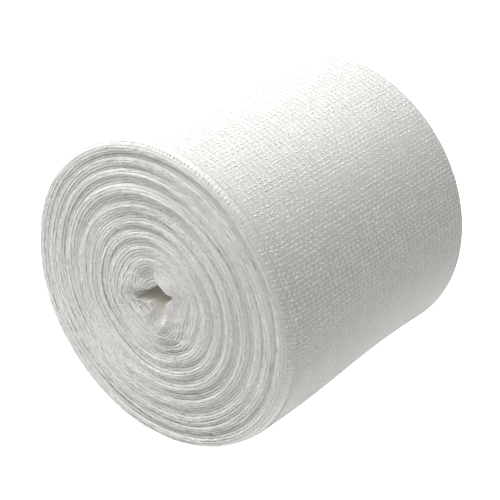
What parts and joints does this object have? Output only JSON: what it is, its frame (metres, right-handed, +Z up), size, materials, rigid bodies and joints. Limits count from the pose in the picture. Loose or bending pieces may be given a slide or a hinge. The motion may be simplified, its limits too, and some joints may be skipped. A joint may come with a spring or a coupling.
{
  "type": "gauze bandage roll",
  "caption": "Soft cylinder of open cotton gauze, folded and wound without a core, with ringed ends and a crushed hollow down the middle.",
  "frame": {"origin": "on the resting surface, straight below the middle of the roll's axis", "axes": "+Y along the roll's axis, from its front end to its back end; +Z up from the resting surface"},
  "size_m": [0.1077, 0.1042, 0.107],
  "materials": {
    "gauze": "bleached open-weave cotton gauze, matt and soft"
  },
  "bodies": {
    "root": {"gauze_roll": "gauze"}
  },
  "joints": []
}
